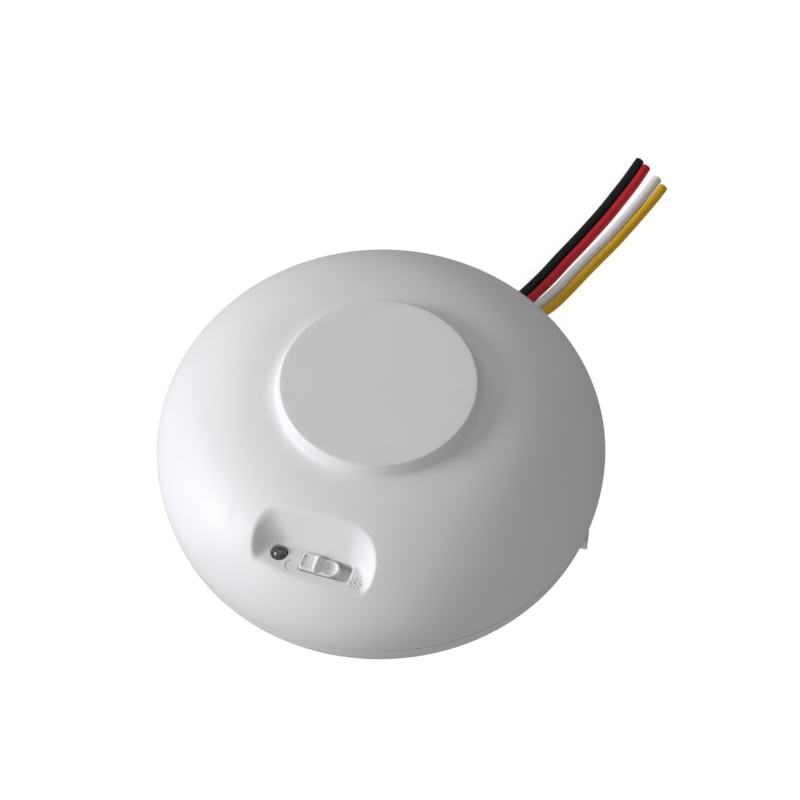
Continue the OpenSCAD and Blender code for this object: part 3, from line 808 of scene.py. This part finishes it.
def make_button():
    """The button's shaped top as a grid, closed by walls and a flat underside."""
    rounded, into_guide = 0.2, 0.05
    x, y = button_plan()
    top = button_height(x, y) - rim_drop(button_edge_depth(x, y), rounded)
    rows, cols = x.shape
    upper = np.stack([x + BUTTON_LEFT, y + SWITCH_Y, top], -1).reshape(-1, 3)
    lower = upper.copy()
    lower[:, 2] = FLANGE_HIGH[2] - into_guide
    faces = []
    shift = rows * cols
    for i in range(rows - 1):
        for j in range(cols - 1):
            a, b = i * cols + j, (i + 1) * cols + j
            c, d = b + 1, a + 1
            faces += [(a, b, c, d), (d + shift, c + shift, b + shift, a + shift)]
    border = list(range(cols))
    border += [i * cols + cols - 1 for i in range(1, rows)]
    border += [(rows - 1) * cols + j for j in range(cols - 2, -1, -1)]
    border += [i * cols for i in range(rows - 2, 0, -1)]
    for a, b in zip(border, border[1:] + border[:1]):
        faces.append((a, b, b + shift, a + shift))
    made = new_object("button_top", np.vstack([upper, lower]), faces)
    face_outward(made)
    smooth_by_angle(made, 50)
    finish_piece(made, BUTTON, "slider", ["slider_cap"])


def make_button_guide():
    """The flange under the pocket floor and the two prongs that hold the switch's knob."""
    prong_apart, prong_half, prong_end = 2.1, 0.4, 13
    front, back, top = SWITCH_Y - 1.3, SWITCH_Y + 1.9, FLANGE_LOW[2] + 0.02
    guide = Solid()
    guide.box(FLANGE_LOW, FLANGE_HIGH)
    knob_x = BUTTON_LEFT + BUTTON_LEN / 2
    for side in (-1, 1):
        at = knob_x + side * prong_apart
        guide.box((at - prong_half, front, prong_end), (at + prong_half, back, top))
    guide.make("button_guide", BUTTON, "button_white", "slider", 0.1)


make_button()
make_button_guide()

# -------- light sensor

EYE_FOOT_Z = 11.9
EYE_DOME_Z = POCKET_Z + EYE_PROUD - EYE_R
CUP_TOP = EYE_DOME_Z - 0.4
CUP_FLOOR = CUP_TOP - 0.2


def make_light_lens():
    """Dark epoxy lens: a rim at the foot, a round barrel and a dome."""
    foot, rim_r, shoulder = EYE_FOOT_Z, 1.8, EYE_FOOT_Z + 1
    profile = [(0, foot), (1.7, foot), (rim_r, foot + 0.1), (rim_r, foot + 0.9), (1.72, shoulder)]
    profile += [(EYE_R, shoulder), (EYE_R, foot + 1.05), (EYE_R, EYE_DOME_Z - 0.5), (EYE_R, EYE_DOME_Z)]
    for t in np.linspace(0, 90, 15)[1:]:
        a = math.radians(t)
        profile.append((EYE_R * math.cos(a) if t < 90 else 0, EYE_DOME_Z + EYE_R * math.sin(a)))
    lens = Solid()
    lens.lathe((EYE_X, EYE_Y), profile, 48)
    lens.make("light_lens", LENS, "lens_dark", "base", 0, ["light_sensor"])


def make_light_lead_frame():
    """The cup that holds the die, its post, and the second post beside it."""
    cup_r, posts_z = 0.62, EYE_FOOT_Z + 0.2
    profile = [(0, CUP_TOP - 0.4), (cup_r, CUP_TOP - 0.4), (cup_r, CUP_TOP), (0.5, CUP_TOP)]
    cup = Solid()
    cup.lathe((EYE_X, EYE_Y), [*profile, (0.3, CUP_FLOOR), (0, CUP_FLOOR)], 32)
    cup.box((EYE_X - cup_r, EYE_Y - 0.12, posts_z), (EYE_X - 0.4, EYE_Y + 0.12, CUP_FLOOR))
    cup.box((EYE_X + 0.85, EYE_Y - 0.2, posts_z), (EYE_X + 1.1, EYE_Y + 0.2, CUP_TOP + 0.15))
    cup.make("light_lead_frame", TIN, "tinned_metal", "base", 0.03)


def make_light_die():
    """The sensor chip in the cup."""
    half = 0.2
    die = Solid()
    die.box((EYE_X - half, EYE_Y - half, CUP_TOP - 0.21), (EYE_X + half, EYE_Y + half, CUP_TOP - 0.08))
    die.make("light_die", EPOXY, "chip_black", "base", 0.02)


make_light_lens()
make_light_lead_frame()
make_light_die()

# -------- parts on the control board

CHIP_ROW_Y = -22.0
RESISTOR_ROW_Y = -27.5
# The chip has seven legs a side, and a resistor in front of each pair
CHIP_PITCH, RESISTOR_PITCH = 1.27, 2.6
ROW = range(-3, 4)
DIODES_X = (-11.0, 11.0, 15.5)
SMALL_PART_HALF_Y = 1.95
REGULATOR = (18.5, 14.5)
# Middle, radius and height
MAIN_CAN = ((18.0, -6.0), 4.0, 11.5)
SMALL_CAN = ((19.5, 6.0), 2.5, 11.0)
CAN_NECK = 0.6
RELAY_X, RELAY_HALF_X, RELAY_HALF_Y = -18.6, 5.25, 7.75
# Thickness of copper and ink, how far both start below the board's face, and a thin track's width
COPPER_T, INK_T, INTO_BOARD = 0.035, 0.02, 0.01
SIGNAL_W = 0.3


def make_controller_chip():
    """Chip body with gull-wing legs and a dot at pin 1."""
    half_x, top, leg_half = 4.3, BOARD_TOP + 1.6, 0.2
    front, back = CHIP_ROW_Y - SMALL_PART_HALF_Y, CHIP_ROW_Y + SMALL_PART_HALF_Y
    body = Solid()
    body.taper((-half_x, front, BOARD_TOP + 0.15), (half_x, back, top), 0.13)
    body.make("chip_body", EPOXY, "chip_black", "base", 0.05, ["controller_chip"])
    legs = Solid()
    bend = [(1.85, 0.95), (2.35, 0.95), (2.5, 0.8), (2.55, 0.22), (3.05, 0.2)]
    bend += [(3.05, 0.02), (2.4, 0.02), (2.32, 0.15), (2.28, 0.75), (1.85, 0.78)]
    for x in [CHIP_PITCH * i for i in ROW]:
        for side in (-1, 1):
            outline = [(CHIP_ROW_Y + side * y, BOARD_TOP + z) for y, z in bend]
            legs.slab_x(outline, x - leg_half, x + leg_half)
    legs.make("chip_legs", TIN, "tinned_metal", "base", 0.02)
    dot = Solid()
    dot.disc((-3.5, CHIP_ROW_Y - 1.1), 0.3, BOARD_TOP + 1.59, BOARD_TOP + 1.61, 24)
    dot.make("chip_dot", PRINT, "chip_black", "base")


def make_diodes():
    """Moulded diodes with a printed cathode band and end tabs."""
    bodies, tabs, bands = Solid(), Solid(), Solid()
    low, high = CHIP_ROW_Y - SMALL_PART_HALF_Y, CHIP_ROW_Y + SMALL_PART_HALF_Y
    for x in DIODES_X:
        bodies.taper((x - 1.3, low, BOARD_TOP + 0.1), (x + 1.3, high, BOARD_TOP + 2.2), 0.14)
        bands.box((x - 1.05, high - 0.85, BOARD_TOP + 2.19), (x + 1.05, high - 0.4, BOARD_TOP + 2.215))
        for y0, y1 in ((low - 0.2, low + 0.5), (high - 0.5, high + 0.2)):
            tabs.box((x - 0.75, y0, BOARD_TOP + 0.01), (x + 0.75, y1, BOARD_TOP + 1.05))
    bodies.make("diode_bodies", EPOXY, "chip_black", "base", 0.06, ["diodes"])
    tabs.make("diode_tabs", TIN, "tinned_metal", "base", 0.04)
    bands.make("diode_bands", PRINT, "chip_black", "base")


def make_resistors():
    """Ceramic chips with a dark top film and tinned end caps."""
    ceramic, film, caps = Solid(), Solid(), Solid()
    y, cap_low, cap_high = RESISTOR_ROW_Y, BOARD_TOP + 0.02, BOARD_TOP + 0.55
    for x in [RESISTOR_PITCH * i for i in ROW]:
        ceramic.box((x - 0.58, y - 0.8, BOARD_TOP + 0.04), (x + 0.58, y + 0.8, BOARD_TOP + 0.48))
        film.box((x - 0.55, y - 0.66, BOARD_TOP + 0.4), (x + 0.55, y + 0.66, BOARD_TOP + 0.53))
        for side in (-1, 1):
            front, back = sorted((y + side * 0.68, y + side))
            caps.box((x - 0.6, front, cap_low), (x + 0.6, back, cap_high))
    film.make("resistor_film", EPOXY, "chip_black", "base", 0.02, ["resistors"])
    ceramic.make("resistor_ceramic", CERAMIC, "chip_black", "base", 0.02)
    caps.make("resistor_caps", TIN, "tinned_metal", "base", 0.04)


def make_regulator():
    """Regulator with its heat tab and two legs in tinned metal."""
    (cx, cy), half_x, half_y, top = REGULATOR, 3.25, 3.05, BOARD_TOP + 2.3
    body = Solid()
    body.taper((cx - half_x, cy - half_y, BOARD_TOP + 0.05), (cx + half_x, cy + half_y, top), 0.15)
    body.make("regulator_body", EPOXY, "chip_black", "base", 0.08, ["regulator"])
    metal_parts = Solid()
    metal_parts.box((cx - 2.7, cy + 2.5, BOARD_TOP + 0.01), (cx + 2.7, cy + 4.25, BOARD_TOP + 0.6))
    bend = [(-2.9, 1.15), (-3.4, 1.15), (-3.75, 0.9), (-3.95, 0.55), (-5.05, 0.5)]
    bend += [(-5.05, 0.02), (-3.75, 0.02), (-3.45, 0.35), (-3.3, 0.65), (-2.9, 0.65)]
    for x in (-2.3, 2.3):
        metal_parts.slab_x([(cy + y, BOARD_TOP + z) for y, z in bend], cx + x - 0.4, cx + x + 0.4)
    metal_parts.make("regulator_metal", TIN, "tinned_metal", "base", 0.05)


def make_can_sleeve(name, centre, r, top, node):
    """Shrunk sleeve with a groove rolled near the foot and a turned-in top edge."""
    z, neck_r = BOARD_TOP, r - CAN_NECK
    profile = [(0, z + 0.02), (r - 0.2, z + 0.02), (r, z + 0.2), (r, z + 1), (r - 0.12, z + 1.3)]
    profile += [(r - 0.3, z + 1.6), (r - 0.12, z + 1.9), (r, z + 2.2), (r, top - 0.3)]
    profile += [(r - 0.1, top - 0.08), (r - 0.3, top), (r - 0.55, top - 0.03), (neck_r, top - 0.3)]
    sleeve = Solid()
    sleeve.lathe(centre, [*profile, (0, top - 0.3)], 48)
    sleeve.make(f"{name}_sleeve", SLEEVE, "capacitor_sleeve", "base", 0, [node])


def make_can_lid(name, centre, r, top):
    """Aluminium top, scored crosswise into quarters."""
    lid_r, gap, quarter_turn = r - CAN_NECK, 0.14, math.pi / 2
    inset = math.asin(gap / lid_r)
    lid = Solid()
    lid.disc(centre, lid_r, top - 0.32, top - 0.16, 40)
    for quarter in range(4):
        start = quarter * quarter_turn
        hub = arc(centre, gap * 1.41, [start + quarter_turn / 2])
        rim = arc(centre, lid_r, np.linspace(start + inset, start + quarter_turn - inset, 10))
        lid.prism(hub + rim, top - 0.17, top - 0.04)
    lid.make(f"{name}_lid", SHIELD, "tinned_metal", "base", 0.02)


def make_can_stripe(name, centre, r, top):
    """Printed stripe down the side of the negative lead."""
    turns = np.linspace(-0.35, 0.35, 9)
    stripe = Solid()
    outline = arc(centre, r + 0.02, turns) + arc(centre, r - 0.1, turns[::-1])
    stripe.prism(outline, BOARD_TOP + 2.5, top - 0.6)
    stripe.make(f"{name}_stripe", PRINT, "capacitor_sleeve", "base")


def make_can(name, can, node):
    """Upright electrolytic capacitor."""
    centre, r, height = can
    top = BOARD_TOP + height
    make_can_sleeve(name, centre, r, top, node)
    make_can_lid(name, centre, r, top)
    make_can_stripe(name, centre, r, top)


def make_relay_seam():
    """Dark potting line where the relay's case meets its base."""
    proud, low, high = 0.04, BOARD_TOP + 0.01, BOARD_TOP + 0.7
    x0, x1 = RELAY_X - RELAY_HALF_X - proud, RELAY_X + RELAY_HALF_X + proud
    seam = Solid()
    seam.box((x0, -RELAY_HALF_Y - proud, low), (x1, RELAY_HALF_Y + proud, high))
    seam.make("relay_seam", EPOXY, "relay_blue", "base", 0.05)


def make_tracks():
    """Copper under the solder mask: wide mains tracks and thin signal tracks."""
    tracks = Solid()
    z0, z1 = BOARD_TOP - INTO_BOARD, BOARD_TOP + COPPER_T
    for offset in (0.0, 3.4):
        route = [(-11.5, 8 - offset), (-7, 12.5 - offset), (3.5 + offset, 14 - offset)]
        tracks.track(route, 1.8, z0, z1)
    tracks.track([(18.5, -10.5), (18.5, -16), (11, -19)], 1.4, z0, z1)
    tracks.track([(23, -2), (23, 9.5), (20.5, 10)], 1.2, z0, z1)
    for i in ROW:
        leg_x, resistor_x = CHIP_PITCH * i, RESISTOR_PITCH * i
        fan_x, fan_y = leg_x * 1.6, CHIP_ROW_Y + 6
        front = [(leg_x, CHIP_ROW_Y - 3), (resistor_x, RESISTOR_ROW_Y + 1.6)]
        back = [(leg_x, CHIP_ROW_Y + 3), (fan_x, fan_y), (fan_x, CHIP_ROW_Y + 9)]
        away = [(resistor_x, RESISTOR_ROW_Y - 1.4), (2.5 * i, RESISTOR_ROW_Y - 4)]
        for route in (front, back, away):
            tracks.track(route, SIGNAL_W, z0, z1)
    tracks.make("board_tracks", TRACK, "board_green", "base")


def make_silkscreen():
    """Printed outlines round the parts."""
    line, margin = 0.18, 0.5
    z0, z1 = BOARD_TOP - INTO_BOARD, BOARD_TOP + COPPER_T + INK_T
    ink = Solid()
    ink.border((-5, CHIP_ROW_Y - 3.5), (5, CHIP_ROW_Y + 3.5), line, z0, z1)
    for x in DIODES_X:
        ink.border((x - 1.8, CHIP_ROW_Y - 2.9), (x + 1.8, CHIP_ROW_Y + 2.9), line, z0, z1)
    ink.border((-9.2, RESISTOR_ROW_Y - 1.3), (9.2, RESISTOR_ROW_Y + 1.3), line, z0, z1)
    x0, x1 = RELAY_X - RELAY_HALF_X - margin, RELAY_X + RELAY_HALF_X + margin
    ink.border((x0, -RELAY_HALF_Y - margin), (x1, RELAY_HALF_Y + margin), line, z0, z1)
    for centre, r, _ in (MAIN_CAN, SMALL_CAN):
        ring = circle(centre, r + margin, 40)
        ink.track(ring + ring[:1], line, z0, z1)
    ink.make("board_print", PRINT, "board_green", "base")


def make_plug_contacts():
    """Contacts that show in the plug's windows, one in line with each lead."""
    near, far, half, low, high = 21.5, 23.0, 0.35, BOARD_TOP + 2.7, BOARD_TOP + 2.95
    contacts = Solid()
    for lane, _, _ in LEADS.values():
        corners = rectangle(near, lane - half, far, lane + half)
        contacts.prism([along_wires((out, left, 0))[:2] for out, left in corners], low, high)
    contacts.make("plug_contacts", TIN, "tinned_metal", "base", 0.05)


make_controller_chip()
make_diodes()
make_resistors()
make_regulator()
make_can("main_can", MAIN_CAN, "capacitor_main")
make_can("small_can", SMALL_CAN, "capacitor_small")
make_relay_seam()
make_tracks()
make_silkscreen()
make_plug_contacts()

# -------- microwave module

MODULE_TOP = 23.0
MODULE_PINS_Y = 12.7
MODULE_PINS_X = [2.54 * i for i in range(-2, 3)]
MODULE_SCREWS = [(-11.5, -11.5), (11.5, -11.5)]
PATCH_X, PATCH_HALF = 6.5, 5.5


def make_solder_joints():
    """Solder cones round the module's pins."""
    cone = [(0, 0.01), (0.9, 0.01), (0.85, 0.08), (0.62, 0.25), (0.45, 0.5), (0.38, 0.72), (0, 0.74)]
    joints = Solid()
    for x in MODULE_PINS_X:
        joints.lathe((x, MODULE_PINS_Y), [(r, MODULE_TOP + z) for r, z in cone], 20)
    joints.make("module_solder", SOLDER, "tinned_metal", "base")


def make_feed_lines():
    """Gold strips that feed the two patches, and discs under the screws' heads."""
    strip_w, join_y, end_y, disc_r = 0.45, -8, -10.5, 2.6
    z0, z1 = MODULE_TOP - INTO_BOARD, MODULE_TOP + 0.05
    gold = Solid()
    for side in (-1, 1):
        x = side * PATCH_X
        gold.track([(x, -PATCH_HALF + 0.2), (x, join_y), (0, join_y), (0, end_y)], strip_w, z0, z1)
    for spot in MODULE_SCREWS:
        gold.disc(spot, disc_r, z0, z1, 32)
    gold.make("feed_lines", GOLD, "gold_plate", "base")


def make_module_tracks():
    """Masked tracks from the pins towards the module's middle, and a ground track along its edge."""
    edge, edge_w = 13.3, 0.5
    z0, z1 = MODULE_TOP - INTO_BOARD, MODULE_TOP + COPPER_T
    tracks = Solid()
    for x in MODULE_PINS_X:
        tracks.track([(x, MODULE_PINS_Y - 1), (x * 0.6, 9.2), (x * 0.6, 7.4)], SIGNAL_W, z0, z1)
    tracks.border((-edge, -edge), (edge, edge), edge_w, z0, z1)
    tracks.make("module_tracks", TRACK, "board_green", "base")


make_solder_joints()
make_feed_lines()
make_module_tracks()

# -------- CAD nodes that keep their shape

dress("base_plate", WHITE, 0.25, 3)
dress("wire_grommet", RUBBER, 0.2)
dress("main_board", MASK, 0.06)
dress("board_screws", STEEL, 0.12)
dress("wire_header", NYLON, 0.15)
dress("wire_plug", NYLON, 0.15)
dress("relay", RELAY, 0.3, 3)
dress("relay_pins", TIN, 0.05)
dress("module_spacers", NYLON, 0.15)
dress("module_screws", STEEL, 0.1)
dress("header_block", EPOXY, 0.1)
dress("header_pins", GOLD, 0.08)
dress("radar_board", MASK, 0.05)
dress("radar_shield", SHIELD, 0.12)
dress("antenna_patches", GOLD, 0.02)
dress("sensor_leads", TIN, 0.03)
dress("switch_frame", SHIELD, 0.12)
dress("switch_pins", TIN, 0.04)
dress("switch_knob", EPOXY, 0.15)

# -------- studio

PAPER_GLOW = 0.79
SKY_COLOR = (1, 0.985, 0.97, 1)
SKY_STRENGTH = 0.27


def make_floor():
    """Pale paper that curves up far away, all round the object."""
    flat, rise, top, steps, sides, floor_z = 1300, 900, 2600, 14, 72, -0.02
    profile = [(0.001, floor_z), (300, floor_z), (flat, floor_z)]
    for t in np.linspace(0, math.pi / 2, steps)[1:]:
        profile.append((flat + rise * math.sin(t), rise * (1 - math.cos(t))))
    profile.append((flat + rise, top))
    verts = [(x, y, z) for r, z in profile for x, y in circle((0, 0), r, sides)]
    faces = [tuple(range(sides))]
    for i in range(len(profile) - 1):
        a, b = i * sides, (i + 1) * sides
        faces += [(a + k, b + k, b + (k + 1) % sides, a + (k + 1) % sides) for k in range(sides)]
    floor = new_object("floor", verts, faces)
    floor.data.shade_smooth()
    s = Shader("floor_paper", (0.85, 0.85, 0.855), 0.9, Specular_IOR_Level=0.1)
    s.tint(s.noise(60, 2), 0.99, 1.01)
    s.bsdf.inputs["Emission Color"].default_value = (1, 1, 1, 1)
    s.bsdf.inputs["Emission Strength"].default_value = PAPER_GLOW
    floor.data.materials.append(s.mat)
    # The paper throws no light back on the object and casts no shadow
    floor.visible_diffuse = False
    floor.visible_glossy = False
    floor.visible_shadow = False
    floor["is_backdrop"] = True


def add_light(name, azimuth, elevation, distance_mm, size_mm, watts, color=(1, 1, 1)):
    """A round soft light; azimuth 0 is the camera's right, counted towards the back."""
    turn = math.radians(azimuth) + CAMERA_AZIMUTH
    rise = math.radians(elevation)
    level = math.cos(rise)
    out = Vector((math.cos(turn) * level, math.sin(turn) * level, math.sin(rise)))
    data = bpy.data.lights.new(name, "AREA")
    data.shape = "DISK"
    data.size = size_mm * MM
    data.energy = watts
    data.color = color
    light = bpy.data.objects.new(name, data)
    light.location = (CAMERA_TARGET + out * distance_mm) * MM
    light.rotation_mode = "QUATERNION"
    light.rotation_quaternion = out.to_track_quat("Z", "Y")
    light.visible_camera = False
    bpy.context.scene.collection.objects.link(light)
    return light


def make_sky():
    """Even, slightly warm light from all round."""
    world = bpy.data.worlds.new("studio")
    bpy.context.scene.world = world
    world.use_nodes = True
    background = world.node_tree.nodes["Background"]
    background.inputs["Color"].default_value = SKY_COLOR
    background.inputs["Strength"].default_value = SKY_STRENGTH


def make_lamps():
    """Four soft lights that light the object's pieces and leave the floor alone."""
    lamps = [
        add_light("key", 187, 20.5, 900, 460, 6.8, (1, 0.985, 1.02)),
        add_light("overhead", 90, 80, 1000, 900, 0.8),
        add_light("glint", 133, 33, 700, 90, 0.35),
        add_light("paper_bounce", 268, -8, 900, 500, 0.8),
    ]
    lit = bpy.data.collections.new("lit_by_lamps")
    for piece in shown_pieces():
        lit.objects.link(piece)
    for lamp in lamps:
        lamp.light_linking.receiver_collection = lit


make_floor()
make_sky()
make_lamps()
bpy.context.scene.view_settings.view_transform = "Standard"
